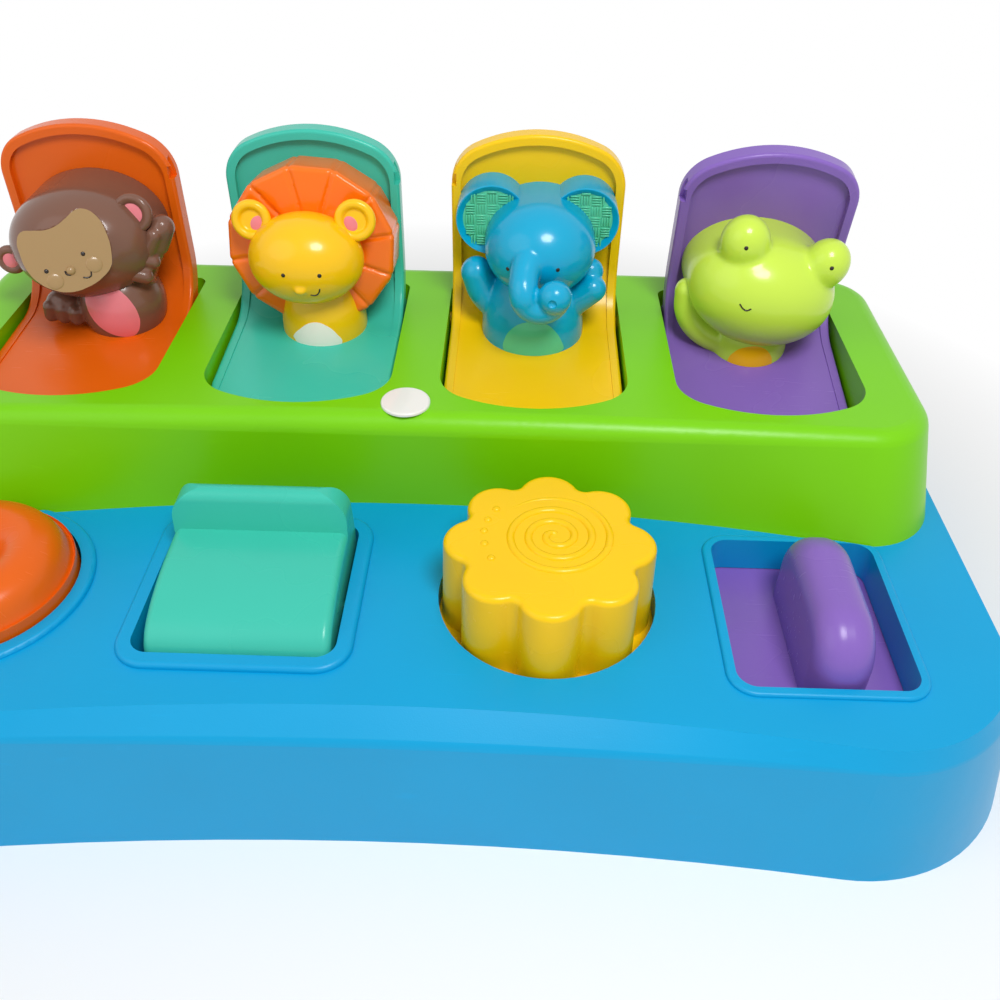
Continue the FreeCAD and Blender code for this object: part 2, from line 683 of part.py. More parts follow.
def monkey():
    c = door_x(-1.5)
    return {
        "monkey_head": [egg(c, 52.5, 107.5, 24, 18.6, "x", -5)],
        "monkey_ears": [leaning_disc(c + 21.5, 53, 119, 5.5, 6, 10), leaning_disc(c - 24, 50, 102, 5.0, 5, 5)],
        "monkey_body": [torso(c + 5.5, 54.3, body_low, 100, 14.8, 11).fuse([
            egg(c + 20, 56.5, 98, 14, 4.9, "z", 24), egg(c + 25.6, 55, 109, 5.5, 4.2, "z", 5),
            egg(c - 12, 46.5, 83.5, 6.5, 5.3, "x")])],
    }


def lion():
    c = door_x(-0.5)
    return {
        "lion_face": [egg(c + 0.2, 45, 107, 19, 14.9, "x")],
        "lion_ears": [leaning_disc(c - 17.7, 46.5, 119.8, 6.0, 5, 12), leaning_disc(c + 17.5, 46.5, 120.2, 6.0, 5, 12)],
        "lion_mane": [mane(c, 51, 107, 26.6, 25.0, 9)],
        "lion_body": [torso(c + 2.4, 53.6, body_low, 98, 14.9, 10).fuse([egg(c + 17, 56.5, 93, 9.5, 5.0, "x", -20)])],
    }


def elephant():
    c = door_x(0.5)
    return {
        "elephant_head": [egg(c + 1.1, 54.6, 109.3, 18.5, 16.0, "x")],
        "elephant_ears": [round_ear(c - 15.6, 57.5, 117.6, 10.6, 8.4, 1.8),
                          round_ear(c + 15.0, 57.5, 117.6, 10.6, 8.4, 1.8)],
        "elephant_trunk": [leaning_disc(c + 4.6, 29, 103.8, 10.2, 8, 15).fuse(
            Part.makeCylinder(5.0, 20, V(c + 2.5, 29, 106), V(0, 1, 0)))],
        "elephant_body": [torso(c, 53.0, body_low, 100, 17.0, 12).fuse([
            egg(c - 17, 55.5, 96, 11, 4.8, "z", -22), egg(c + 16.5, 53, 93, 11, 4.6, "z", 40)])],
    }


def frog():
    c = door_x(1.5)
    return {
        "frog_head": [egg(c, 50, 97.8, 25.4, 18.6, "x", 12.4)],
        "frog_eyes": [egg(c - 9.5, 44, 118.6, 7.2, 7.0, "z"), egg(c + 19.2, 44, 111.4, 6.7, 6.5, "z")],
        "frog_body": [torso(c + 0.5, 53.0, body_low - 8, 90, 13.6, 12).fuse([egg(c - 20, 50.5, 87, 12, 4.8, "z", -48)])],
    }


def fitted(pieces, place):
    """A figure's pieces seated on its door, each cut back to those listed before it."""
    done = {}
    taken = [behind_recess(place)]
    for name, solids in pieces.items():
        trimmed = []
        for solid in solids:
            for other in taken:
                solid = solid.cut(other)
            trimmed.append(solid)
        done[name] = Part.makeCompound(trimmed)
        taken += solids
    return done


# ---------------------------------------------------------------- assembly
def build():
    nodes = {
        "base_shell": base_shell(),
        "bottom_cover": bottom_cover(),
        "cover_screws": screws(screw_places(), seat_z, 11.0),
        "green_housing": green_housing(),
        "housing_screws": screws(housing_screw_places(), deck_z - wall, 14.0),
        "round_badge": round_top(disc(badge_x, badge_y, housing_z, housing_z + badge_t, badge_r), badge_soft),
        "ring_button": ring_button(),
        "button_spring": spring(ring_x, ring_y, cover_t + 1, 7.2, 1.0, 6.2, 4, "z"),
        "teal_flap": flap(),
        "flower_knob": flower_knob(),
        "purple_slider": slider(),
    }
    for colour, place in doors:
        nodes[colour + "_door"] = door_shell(place)
        nodes[colour + "_latch"] = latch(place)
        far = -side(place) * (door_w / 2 + door_gap + wall + 1)
        nodes[colour + "_door_spring"] = spring(door_x(place) + min(far, far - side(place) * 3),
                                                hinge_y, hinge_z, pin_r + 1.2, 1.0, 1.2, 2, "x")
    for (_, place), figure in zip(doors, (monkey, lion, elephant, frog)):
        nodes.update(fitted(figure(), place))
    return nodes


def main():
    os.makedirs("parts", exist_ok=True)
    for name, shape in build().items():
        shape.exportStep("parts/" + name + ".step")


if __name__ == "__main__":
    main()
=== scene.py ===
"""Looks of the pop-up animal toy: moulded plastics on the casing, and the four animals modelled in full."""
import json
import math

import bpy
from bpy.props import FloatProperty, FloatVectorProperty, PointerProperty
from mathutils import Matrix, Vector


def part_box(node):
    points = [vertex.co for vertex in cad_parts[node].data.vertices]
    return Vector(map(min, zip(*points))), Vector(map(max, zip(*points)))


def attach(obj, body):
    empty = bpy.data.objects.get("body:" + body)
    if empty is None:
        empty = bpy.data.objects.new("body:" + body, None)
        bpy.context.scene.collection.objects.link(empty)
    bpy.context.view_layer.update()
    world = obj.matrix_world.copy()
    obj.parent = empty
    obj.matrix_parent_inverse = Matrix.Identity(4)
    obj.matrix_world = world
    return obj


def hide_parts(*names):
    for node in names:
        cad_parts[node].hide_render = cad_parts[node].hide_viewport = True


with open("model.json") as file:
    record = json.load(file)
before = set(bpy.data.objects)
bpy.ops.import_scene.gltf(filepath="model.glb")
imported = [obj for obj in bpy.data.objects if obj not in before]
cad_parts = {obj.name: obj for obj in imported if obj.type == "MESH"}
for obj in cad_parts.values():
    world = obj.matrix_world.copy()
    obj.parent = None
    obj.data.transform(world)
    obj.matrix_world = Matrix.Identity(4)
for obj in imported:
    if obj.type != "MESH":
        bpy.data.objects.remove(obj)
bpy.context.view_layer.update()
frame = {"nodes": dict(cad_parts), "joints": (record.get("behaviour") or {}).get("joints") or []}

bl_info = {
    "name": "Pop-up animal toy",
    "version": (1, 0, 0),
    "blender": (4, 5, 0),
    "location": "View3D > Sidebar > Toy",
    "description": "Finishes the toy's moulded pieces and models its animals",
    "category": "Object",
}

MM = 0.001
PICTURE = 1000.0             # pixels across the camera's picture
PANEL_FACE = 3.2             # recessed face of a door's panel, mm behind its hinge line
FLOOR_FACE = 4.815           # where that face and the floor's would meet, mm above the hinge line
FLOOR_SLOPE = math.radians(3)
BEND = 19.2                  # radius between the two faces, mm
SENSOR = 36.0                # width of the camera's sensor, mm
KEY_PLACE, KEY_SIZE = (0.16, -0.30, 0.62), 0.22
FILL_PLACE, FILL_SIZE = (-0.45, -0.35, 0.5), 0.6
LAMPS_AIM = (0.0, 0.0, 0.06)


# ---------------------------------------------------------------- settings
def colour(label, text, red, green, blue):
    """Colour property; its default is given as 0 to 255 display values."""
    shown = [part / 255 for part in (red, green, blue)]
    linear = [part / 12.92 if part <= 0.04 else ((part + 0.055) / 1.055) ** 2.4 for part in shown]
    return FloatVectorProperty(name=label, description=text, subtype="COLOR", size=3, min=0, max=1,
                               default=linear)


def length(label, text, value):
    return FloatProperty(name=label, description=text, unit="LENGTH", min=0, default=value)


def angle(label, text, degrees):
    return FloatProperty(name=label, description=text, subtype="ANGLE", default=math.radians(degrees))


class CasingColours(bpy.types.PropertyGroup):
    base: colour("Base", "Base shell and cover", 0, 158, 212)
    housing: colour("Housing", "Housing behind the controls", 120, 204, 0)
    orange: colour("Orange", "Ring button and first door", 232, 100, 12)
    teal: colour("Teal", "Rocker and second door", 62, 192, 170)
    yellow: colour("Yellow", "Flower knob and third door", 245, 198, 8)
    purple: colour("Purple", "Slider and fourth door", 132, 98, 184)
    badge: colour("Badge", "Blank round badge", 236, 234, 228)
    steel: colour("Steel", "Springs and screws", 190, 190, 194)
    latch: colour("Latch", "Hidden latch bars", 205, 205, 200)


class AnimalColours(bpy.types.PropertyGroup):
    monkey: colour("Monkey", "Monkey's coat", 122, 84, 68)
    monkey_face: colour("Monkey's face", "Tan face and cheeks", 166, 134, 90)
    pink: colour("Pink", "Monkey's tummy and the inside of ears", 232, 128, 138)
    lion: colour("Lion", "Lion's head and body", 250, 194, 10)
    mane: colour("Mane", "Lion's mane", 248, 116, 8)
    lion_tummy: colour("Lion's tummy", "Off-white patch", 246, 236, 224)
    elephant: colour("Elephant", "Elephant's skin", 0, 164, 206)
    elephant_ear: colour("Elephant's ear", "Woven inside of the ears and the tummy", 84, 200, 160)
    frog: colour("Frog", "Frog's skin", 200, 230, 76)
    frog_tummy: colour("Frog's tummy", "Amber patch", 250, 186, 12)
    ink: colour("Ink", "Eyes and smiles", 38, 26, 22)


class AnimalSizes(bpy.types.PropertyGroup):
    eye: length("Eye", "Radius of an eye", 0.00068)
    dome: length("Dome", "Height of an eye above its carrier", 0.0003)
    cheek: length("Cheek", "Radius of a monkey's cheek", 0.0025)
    cheek_height: length("Cheek height", "Height of a cheek above the face", 0.0004)
    nose: length("Nose", "Radius of the monkey's nose", 0.0014)
    nose_height: length("Nose height", "Height of the nose above the face", 0.001)
    line: length("Line", "Radius of a smile's line", 0.00024)
    paint: length("Paint", "Height of a painted patch above its carrier", 0.00012)
    step: length("Step", "Depth of the monkey's face below the coat", 0.0009)
    fine: length("Fine", "Mesh size of crisp pieces", 0.00042)
    coarse: length("Coarse", "Mesh size of soft forms", 0.0006)


class StudioSettings(bpy.types.PropertyGroup):
    lens: FloatProperty(name="Lens", description="Focal length", unit="CAMERA", default=35.045)
    place: FloatVectorProperty(name="Camera", description="Where the camera stands", subtype="TRANSLATION",
                               unit="LENGTH", default=(0.03172, -0.25103, 0.25121))
    pitch: angle("Pitch", "How far the camera looks down", 39.65)
    yaw: angle("Yaw", "How far it turns to the left", 0.82)
    roll: angle("Roll", "How far it leans", 1.11)
    key: FloatProperty(name="Key", description="Power of the key lamp", subtype="POWER", min=0, default=2.7)
    fill: FloatProperty(name="Fill", description="Power of the fill lamp", subtype="POWER", min=0,
                        default=0.8)
    sky: FloatProperty(name="Sky", description="Strength of the even light", min=0, default=0.42)
    white_from: length("White from", "Distance from the middle where the floor starts to fade to white", 0.2)
    white_at: length("White at", "Distance where the floor is white", 0.32)
    floor: colour("Floor", "Pale floor", 246, 246, 246)


# ---------------------------------------------------------------- modelling helpers
def deselect():
    if bpy.context.object and bpy.context.object.mode != "OBJECT":
        bpy.ops.object.mode_set(mode="OBJECT")
    bpy.ops.object.select_all(action="DESELECT")


def pick(*objects):
    """Select these objects alone, the first one active."""
    deselect()
    for obj in objects:
        obj.select_set(True)
    bpy.context.view_layer.objects.active = objects[0]
    return objects[0]


def settle(obj):
    """Move the object's place into its mesh."""
    pick(obj)
    bpy.ops.object.transform_apply(location=True, rotation=True, scale=True)
    return obj


def edit(obj, domain="FACE"):
    pick(obj)
    bpy.ops.object.mode_set(mode="EDIT")
    bpy.ops.mesh.select_mode(type=domain)
    bpy.ops.mesh.select_all(action="SELECT")


def leave():
    bpy.ops.object.mode_set(mode="OBJECT")


def choose(obj, kind, test):
    """In edit mode, select the faces or vertices for which test is true."""
    bpy.ops.mesh.select_mode(type=kind)
    bpy.ops.mesh.select_all(action="DESELECT")
    leave()
    items = obj.data.polygons if kind == "FACE" else obj.data.vertices
    for item in items:
        item.select = test(item)
    bpy.ops.object.mode_set(mode="EDIT")


def modify(obj, kind, **values):
    pick(obj)
    modifier = obj.modifiers.new(kind.lower(), kind)
    for key, value in values.items():
        setattr(modifier, key, value)
    bpy.ops.object.modifier_apply(modifier=modifier.name)
    return obj


def copy_of(obj):
    """Copy with its own mesh."""
    pick(obj)
    bpy.ops.object.duplicate(linked=False)
    return bpy.context.object


def carve(obj, tool, operation, keep_tool=False):
    modify(obj, "BOOLEAN", operation=operation, solver="EXACT", object=tool)
    if not keep_tool:
        bpy.data.objects.remove(tool)
    return obj


def joined(parts):
    pick(*parts)
    if len(parts) > 1:
        bpy.ops.object.join()
    return bpy.context.object


def melt(parts, size, rounds):
    """Blend overlapping solids into one skin, with soft hollows where they meet."""
    whole = joined(parts)
    modify(whole, "REMESH", mode="VOXEL", voxel_size=size, use_smooth_shade=True)
    modify(whole, "SMOOTH", factor=0.5, iterations=rounds)
    return whole


def ball(at, half, roll=0.0, lean=0.0):
    """Egg with half sizes in mm, rolled to the right and leaning back, in degrees."""
    bpy.ops.mesh.primitive_uv_sphere_add(segments=48, ring_count=32, radius=MM)
    obj = bpy.context.object
    obj.rotation_mode = "YXZ"
    obj.rotation_euler = (math.radians(-lean), math.radians(roll), 0)
    obj.scale = half
    obj.location = at
    return settle(obj)


def bulge(door, dx, dy, dz, half, depth, roll):
    """Half egg that faces the front and runs back, with an even section, into the door's panel."""
    bpy.ops.mesh.primitive_uv_sphere_add(segments=64, ring_count=40, radius=1)
    obj = bpy.context.object
    edit(obj, "VERT")
    bpy.ops.mesh.bisect(plane_co=(0, 0, 0), plane_no=(0, 1, 0), clear_outer=True)
    choose(obj, "VERT", lambda v: abs(v.co.y) < 1e-4)
    back = (PANEL_FACE - dy + 1) / depth
    bpy.ops.mesh.extrude_region_move(TRANSFORM_OT_translate={"value": (0, back, 0)})
    bpy.ops.mesh.edge_face_add()
    leave()
    obj.scale = (half[0] * MM, depth * MM, half[1] * MM)
    obj.rotation_euler = (0, math.radians(roll), 0)
    obj.location = door.at(dx, dy, dz)
    return settle(obj)


def limb(points, radii):
    """Tube through the points, with a round end at each end; radii in mm."""
    deselect()
    bpy.ops.curve.primitive_bezier_curve_add()
    obj = bpy.context.object
    data = obj.data
    data.dimensions = "3D"
    data.bevel_depth = MM
    data.bevel_resolution = 8
    data.resolution_u = 16
    data.use_fill_caps = True
    spline = data.splines[0]
    spline.bezier_points.add(len(points) - 2)
    for bezier, point, radius in zip(spline.bezier_points, points, radii):
        bezier.co = point
        bezier.radius = radius
        bezier.handle_left_type = bezier.handle_right_type = "AUTO"
    obj.location = (0, 0, 0)
    pick(obj)
    bpy.ops.object.convert(target="MESH")
    tube = bpy.context.object
    ends = [ball(points[i], (radii[i],) * 3) for i in (0, -1)]
    return joined([tube] + ends)


def smooth(obj, degrees=40):
    pick(obj)
    bpy.ops.object.shade_smooth_by_angle(angle=math.radians(degrees))


def present(obj, name, door, slot, material, *stands_for):
    """Name a finished piece, paint it and let it ride on its door."""
    obj.name = name
    obj.data.name = name
    obj.data.materials.clear()
    obj.data.materials.append(material)
    smooth(obj)
    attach(obj, door.body)
    if stands_for:
        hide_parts(*stands_for)
    deselect()
    return obj


class Door:
    """A door's hinge line, which the animal on it is placed from."""

    def __init__(self, body):
        self.body = body
        joint = next(j for j in frame["joints"] if j["child"] == body)
        self.hinge = Vector(joint["pos_m"])
        self.short = math.radians(-joint["range_deg"][0])     # how far from fully open it rests

    def at(self, dx, dy, dz):
        """Point dx mm right of the door's middle, dy behind and dz above its hinge line."""
        return self.hinge + Vector((dx, dy, dz)) * MM

    def room(self):
        """Block that fills the space before the panel and above the floor."""
        wide, front, high = 33.0, -75.0, 90.0
        bpy.ops.mesh.primitive_cube_add(size=1)
        obj = bpy.context.object
        obj.scale = (2 * wide * MM, (PANEL_FACE - front) * MM, high * MM)
        obj.location = self.at(0, (PANEL_FACE + front) / 2, FLOOR_FACE + high / 2)
        settle(obj)
        edit(obj, "VERT")
        drop = (PANEL_FACE - front) * math.tan(FLOOR_SLOPE)
        front_y = self.at(0, front, 0).y
        low = self.at(0, 0, FLOOR_FACE).z
        choose(obj, "VERT", lambda v: v.co.y < front_y + MM and v.co.z < low + MM)
        bpy.ops.transform.translate(value=(0, 0, -drop * MM))
        back_y = self.at(0, PANEL_FACE, 0).y
        choose(obj, "VERT", lambda v: v.co.y > back_y - MM and v.co.z < low + MM)
        setback = BEND / math.tan((math.pi / 2 - FLOOR_SLOPE) / 2)
        bpy.ops.mesh.bevel(offset=setback * MM, segments=16, profile=0.5, affect="EDGES")
        leave()
        turn = Matrix.Rotation(self.short, 3, "X")
        obj.rotation_euler = turn.to_euler()
        obj.location = self.hinge - turn @ self.hinge
        return settle(obj)


def seat(obj, door):
    """Cut a piece to the recess of its door."""
    return carve(obj, door.room(), "INTERSECT")


# ---------------------------------------------------------------- placing by the camera's picture
def sight(x, y):
    """Direction from the camera through a point of its picture, in pixels."""
    camera = bpy.context.scene.camera
    focal = camera.data.lens / camera.data.sensor_width
    local = Vector(((x / PICTURE - 0.5) / focal, (0.5 - y / PICTURE) / focal, -1))
    return (camera.matrix_world.to_3x3() @ local).normalized()


def hit(carrier, x, y):
    """Where the carrier shows at that point of the picture, and its normal there."""
    bpy.context.view_layer.update()
    eye = bpy.context.scene.camera.location
    found, place, normal, _ = carrier.ray_cast(eye, sight(x, y))
    if not found:
        raise RuntimeError(f"{carrier.name} doesn't show at {x}, {y}")
    return place, normal


def prism(carrier, outline, depth):
    """Closed block along the line of sight whose section is the smooth outline, given in pixels."""
    middle = [sum(p[i] for p in outline) / len(outline) for i in (0, 1)]
    axis = sight(*middle)
    eye = bpy.context.scene.camera.location
    start, _ = hit(carrier, *middle)
    plane = start - axis * 8 * MM
    deselect()
    bpy.ops.curve.primitive_bezier_curve_add()
    obj = bpy.context.object
    obj.data.dimensions = "3D"
    obj.data.resolution_u = 8
    spline = obj.data.splines[0]
    spline.bezier_points.add(len(outline) - 2)
    for bezier, (x, y) in zip(spline.bezier_points, outline):
        ray = sight(x, y)
        bezier.co = eye + ray * ((start - eye).dot(axis) / ray.dot(axis)) + (plane - start)
        bezier.handle_left_type = bezier.handle_right_type = "AUTO"
    spline.use_cyclic_u = True
    obj.location = (0, 0, 0)
    pick(obj)
    bpy.ops.object.convert(target="MESH")
    block = bpy.context.object
    edit(block, "VERT")
    bpy.ops.mesh.remove_doubles(threshold=1e-6)
    bpy.ops.mesh.edge_face_add()
    bpy.ops.mesh.extrude_region_move(TRANSFORM_OT_translate={"value": axis * (8 + depth) * MM})
    bpy.ops.mesh.select_all(action="SELECT")
    bpy.ops.mesh.normals_make_consistent(inside=False)
    leave()
    return block


def swollen(obj, by):
    """Copy of a piece whose skin stands out by that many metres."""
    made = copy_of(obj)
    edit(made, "VERT")
    bpy.ops.transform.shrink_fatten(value=by)
    leave()
    return made


def patch(carrier, outline, rise):
    """Painted patch on the carrier: its skin, a little raised, inside the outline."""
    return carve(swollen(carrier, rise), prism(carrier, outline, 5), "INTERSECT")


def dot(carrier, x, y, radius, height):
    """Low round dot on the carrier, at a point of the picture; sizes in metres."""
    place, normal = hit(carrier, x, y)
    bpy.ops.mesh.primitive_uv_sphere_add(segments=20, ring_count=12, radius=1)
    obj = bpy.context.object
    obj.scale = (radius, radius, height)
    obj.rotation_mode = "QUATERNION"
    obj.rotation_quaternion = normal.to_track_quat("Z", "Y")
    obj.location = place
    return settle(obj)


def stroke(carrier, pixels, radius, lift=0.0):
    """Thin line drawn on the carrier through points of the picture."""
    points = []
    for x, y in pixels:
        place, normal = hit(carrier, x, y)
        points.append(place + normal * lift)
    return limb(points, [radius / MM] * len(points))


# ---------------------------------------------------------------- materials
def moulded_surface():
    """Shared effect: faint mottling, an even grain and light scuffs of used plastic."""
    name = "moulded surface"
    if name in bpy.data.node_groups:
        return bpy.data.node_groups[name]
    group = bpy.data.node_groups.new(name, "ShaderNodeTree")
    face = group.interface
    for label, kind, value in (("Colour", "NodeSocketColor", (0.5, 0.5, 0.5, 1)),
                               ("Roughness", "NodeSocketFloat", 0.3), ("Mottle", "NodeSocketFloat", 0.05),
                               ("Grain", "NodeSocketFloat", 0.3), ("Scuffs", "NodeSocketFloat", 0.3)):
        socket = face.new_socket(name=label, in_out="INPUT", socket_type=kind)
        socket.default_value = value
    for label, kind in (("Colour", "NodeSocketColor"), ("Roughness", "NodeSocketFloat"),
                        ("Height", "NodeSocketFloat")):
        face.new_socket(name=label, in_out="OUTPUT", socket_type=kind)
    nodes, links = group.nodes, group.links
    source = nodes.new("NodeGroupInput")
    result = nodes.new("NodeGroupOutput")
    place = nodes.new("ShaderNodeTexCoord").outputs["Object"]

    def noise(scale, detail, stretch=(1, 1, 1)):
        mapping = nodes.new("ShaderNodeMapping")
        mapping.inputs["Scale"].default_value = stretch
        links.new(place, mapping.inputs["Vector"])
        texture = nodes.new("ShaderNodeTexNoise")
        texture.inputs["Scale"].default_value = scale
        texture.inputs["Detail"].default_value = detail
        links.new(mapping.outputs["Vector"], texture.inputs["Vector"])
        return texture.outputs["Fac"]

    def ramp(value, low, high, to_low, to_high):
        node = nodes.new("ShaderNodeMapRange")
        limits = {"From Min": low, "From Max": high, "To Min": to_low, "To Max": to_high}
        for label, number in limits.items():
            node.inputs[label].default_value = number
        links.new(value, node.inputs["Value"])
        return node.outputs["Result"]

    def maths(kind, first, second):
        node = nodes.new("ShaderNodeMath")
        node.operation = kind
        for socket, value in zip(node.inputs, (first, second)):
            if isinstance(value, (int, float)):
                socket.default_value = value
            else:
                links.new(value, socket)
        return node.outputs[0]

    cloud_scale, scratch_scale, area_scale, grain_scale, ripple_scale = 28, 90, 16, 2600, 120
    scratch_stretch = (1, 14, 3)
    lighter, rougher = 0.08, 0.1     # what a scuff does to the colour and the gloss
    cloudy = ramp(noise(cloud_scale, 2), 0.1, 0.9, -1, 1)
    scratches = ramp(noise(scratch_scale, 2, scratch_stretch), 0.66, 0.74, 0, 1)
    where = ramp(noise(area_scale, 2), 0.5, 0.62, 0, 1)
    scuff = maths("MULTIPLY", maths("MULTIPLY", scratches, where), source.outputs["Scuffs"])
    value = maths("ADD", maths("MULTIPLY", cloudy, source.outputs["Mottle"]), 1)
    value = maths("ADD", value, maths("MULTIPLY", scuff, lighter))
    tint = nodes.new("ShaderNodeHueSaturation")
    links.new(source.outputs["Colour"], tint.inputs["Color"])
    links.new(value, tint.inputs["Value"])
    links.new(tint.outputs["Color"], result.inputs["Colour"])
    rough = maths("ADD", source.outputs["Roughness"], maths("MULTIPLY", cloudy, 0.03))
    links.new(maths("ADD", rough, maths("MULTIPLY", scuff, rougher)), result.inputs["Roughness"])
    grain = maths("MULTIPLY", noise(grain_scale, 2), source.outputs["Grain"])
    ripple = maths("MULTIPLY", noise(ripple_scale, 2), 0.6)
    links.new(maths("ADD", grain, ripple), result.inputs["Height"])
    return group


def plastic(name, tone, roughness=0.3, coat=0.0, grain=0.3, scuffs=0.3, mottle=0.04, metallic=0.0):
    """Moulded plastic, or plain metal, in one tone."""
    if name in bpy.data.materials:
        return bpy.data.materials[name]
    material = bpy.data.materials.new(name)
    material.use_nodes = True
    nodes, links = material.node_tree.nodes, material.node_tree.links
    shader = nodes["Principled BSDF"]
    shader.inputs["Specular IOR Level"].default_value = 0.3
    shader.inputs["Coat Weight"].default_value = coat
    shader.inputs["Coat Roughness"].default_value = 0.06
    shader.inputs["Metallic"].default_value = metallic
    surface = nodes.new("ShaderNodeGroup")
    surface.node_tree = moulded_surface()
    surface.inputs["Colour"].default_value = (*tone, 1)
    strengths = {"Roughness": roughness, "Mottle": mottle, "Grain": grain, "Scuffs": scuffs}
    for label, number in strengths.items():
        surface.inputs[label].default_value = number
    links.new(surface.outputs["Colour"], shader.inputs["Base Color"])
    links.new(surface.outputs["Roughness"], shader.inputs["Roughness"])
    bump = nodes.new("ShaderNodeBump")
    bump.inputs["Strength"].default_value = 0.35
    bump.inputs["Distance"].default_value = 0.00012
    links.new(surface.outputs["Height"], bump.inputs["Height"])
    links.new(bump.outputs["Normal"], shader.inputs["Normal"])
    return material


def vinyl(name, tone):
    """Glossy vinyl of the animals."""
    return plastic(name, tone, roughness=0.24, coat=0.2, grain=0.0, scuffs=0.0, mottle=0.03)


def dress(node, material):
    """Give a CAD node its finish."""
    slots = frame["nodes"][node].data.materials
    slots.clear()
    slots.append(material)


def seen(nodes, links):
    """1 for rays that show the background, straight or in a gloss; 0 for those that light the toy."""
    path = nodes.new("ShaderNodeLightPath")
    total = path.outputs["Is Camera Ray"]
    for label in ("Is Glossy Ray", "Is Transmission Ray"):
        both = nodes.new("ShaderNodeMath")
        both.operation = "MAXIMUM"
        links.new(total, both.inputs[0])
        links.new(path.outputs[label], both.inputs[1])
        total = both.outputs[0]
    return total


# ---------------------------------------------------------------- operators
class TOY_OT_studio(bpy.types.Operator):
    """Camera, lamps and pale floor"""
    bl_idname = "toy.studio"
    bl_label = "Studio"

    def execute(self, context):
        deselect()
        settings = context.scene.toy_studio
        bpy.ops.object.camera_add(location=settings.place)
        camera = bpy.context.object
        turn = (Matrix.Rotation(settings.yaw, 3, "Z") @ Matrix.Rotation(math.pi / 2 - settings.pitch, 3, "X")
                @ Matrix.Rotation(settings.roll, 3, "Z"))
        camera.rotation_euler = turn.to_euler()
        camera.data.sensor_width = SENSOR
        camera.data.lens = settings.lens
        camera.data.clip_start = 0.01
        context.scene.camera = camera
        bpy.context.view_layer.update()
        context.scene.view_settings.view_transform = "Standard"
        self.lamp("key lamp", KEY_PLACE, KEY_SIZE, settings.key)
        self.lamp("fill lamp", FILL_PLACE, FILL_SIZE, settings.fill)
        self.sky(context, settings)
        bpy.ops.mesh.primitive_plane_add(size=8)
        floor = bpy.context.object
        floor.name = "floor"
        floor.data.materials.append(self.floor_paper(settings))
        return {"FINISHED"}

    def lamp(self, name, place, size, power):
        aim = Vector(LAMPS_AIM) - Vector(place)
        turn = aim.to_track_quat("-Z", "Y").to_euler()
        bpy.ops.object.light_add(type="AREA", location=place, rotation=turn)
        lamp = bpy.context.object
        lamp.name = name
        lamp.data.shape = "DISK"
        lamp.data.size = size
        lamp.data.energy = power

    def sky(self, context, settings):
        world = bpy.data.worlds.new("studio")
        context.scene.world = world
        world.use_nodes = True
        nodes, links = world.node_tree.nodes, world.node_tree.links
        even = nodes["Background"]
        even.inputs["Strength"].default_value = settings.sky
        white = nodes.new("ShaderNodeBackground")
        white.inputs["Color"].default_value = (1, 1, 1, 1)
        even.inputs["Color"].default_value = (1, 1, 1, 1)
        mix = nodes.new("ShaderNodeMixShader")
        links.new(seen(nodes, links), mix.inputs["Fac"])
        links.new(even.outputs[0], mix.inputs[1])
        links.new(white.outputs[0], mix.inputs[2])
        links.new(mix.outputs[0], nodes["World Output"].inputs["Surface"])

    def floor_paper(self, settings):
        material = bpy.data.materials.new("floor paper")
        material.use_nodes = True
        nodes, links = material.node_tree.nodes, material.node_tree.links
        shader = nodes["Principled BSDF"]
        shader.inputs["Base Color"].default_value = (*settings.floor, 1)
        shader.inputs["Roughness"].default_value = 0.9
        away = nodes.new("ShaderNodeVectorMath")
        away.operation = "LENGTH"
        links.new(nodes.new("ShaderNodeTexCoord").outputs["Object"], away.inputs[0])
        fade = nodes.new("ShaderNodeMapRange")
        fade.inputs["From Min"].default_value = settings.white_from
        fade.inputs["From Max"].default_value = settings.white_at
        links.new(away.outputs["Value"], fade.inputs["Value"])
        looked_at = nodes.new("ShaderNodeMath")
        looked_at.operation = "MULTIPLY"
        links.new(fade.outputs["Result"], looked_at.inputs[0])
        links.new(seen(nodes, links), looked_at.inputs[1])
        white = nodes.new("ShaderNodeEmission")
        mix = nodes.new("ShaderNodeMixShader")
        links.new(looked_at.outputs[0], mix.inputs["Fac"])
        links.new(shader.outputs[0], mix.inputs[1])
        links.new(white.outputs[0], mix.inputs[2])
        links.new(mix.outputs[0], nodes["Material Output"].inputs["Surface"])
        return material


class TOY_OT_casing(bpy.types.Operator):
    """Finish the base, the housing, the doors and the hidden pieces"""
    bl_idname = "toy.casing"
    bl_label = "Casing"

    def execute(self, context):
        tones = context.scene.toy_casing
        base = plastic("base plastic", tones.base, roughness=0.36, grain=0.5, scuffs=0.6)
        dress("base_shell", base)
        dress("bottom_cover", plastic("cover plastic", tones.base, roughness=0.5, grain=0.8))
        housing = plastic("housing plastic", tones.housing, roughness=0.34, grain=0.4, scuffs=0.5)
        dress("green_housing", housing)
        dress("round_badge", plastic("badge pearl", tones.badge, roughness=0.2, coat=0.6, grain=0.0))
        steel = plastic("steel", tones.steel, roughness=0.28, metallic=1.0)
        latch = plastic("latch plastic", tones.latch, roughness=0.45)
        for node in frame["nodes"]:
            if node.endswith("_latch"):
                dress(node, latch)
            if "spring" in node or node.endswith("screws"):
                dress(node, steel)
        for name in ("orange", "teal", "yellow", "purple"):
            dress(name + "_door", coloured(context, name))
        return {"FINISHED"}


def coloured(context, name):
    """Glossy plastic of the doors and controls."""
    return plastic(name + " plastic", getattr(context.scene.toy_casing, name), roughness=0.27, grain=0.2,
                   scuffs=0.35)


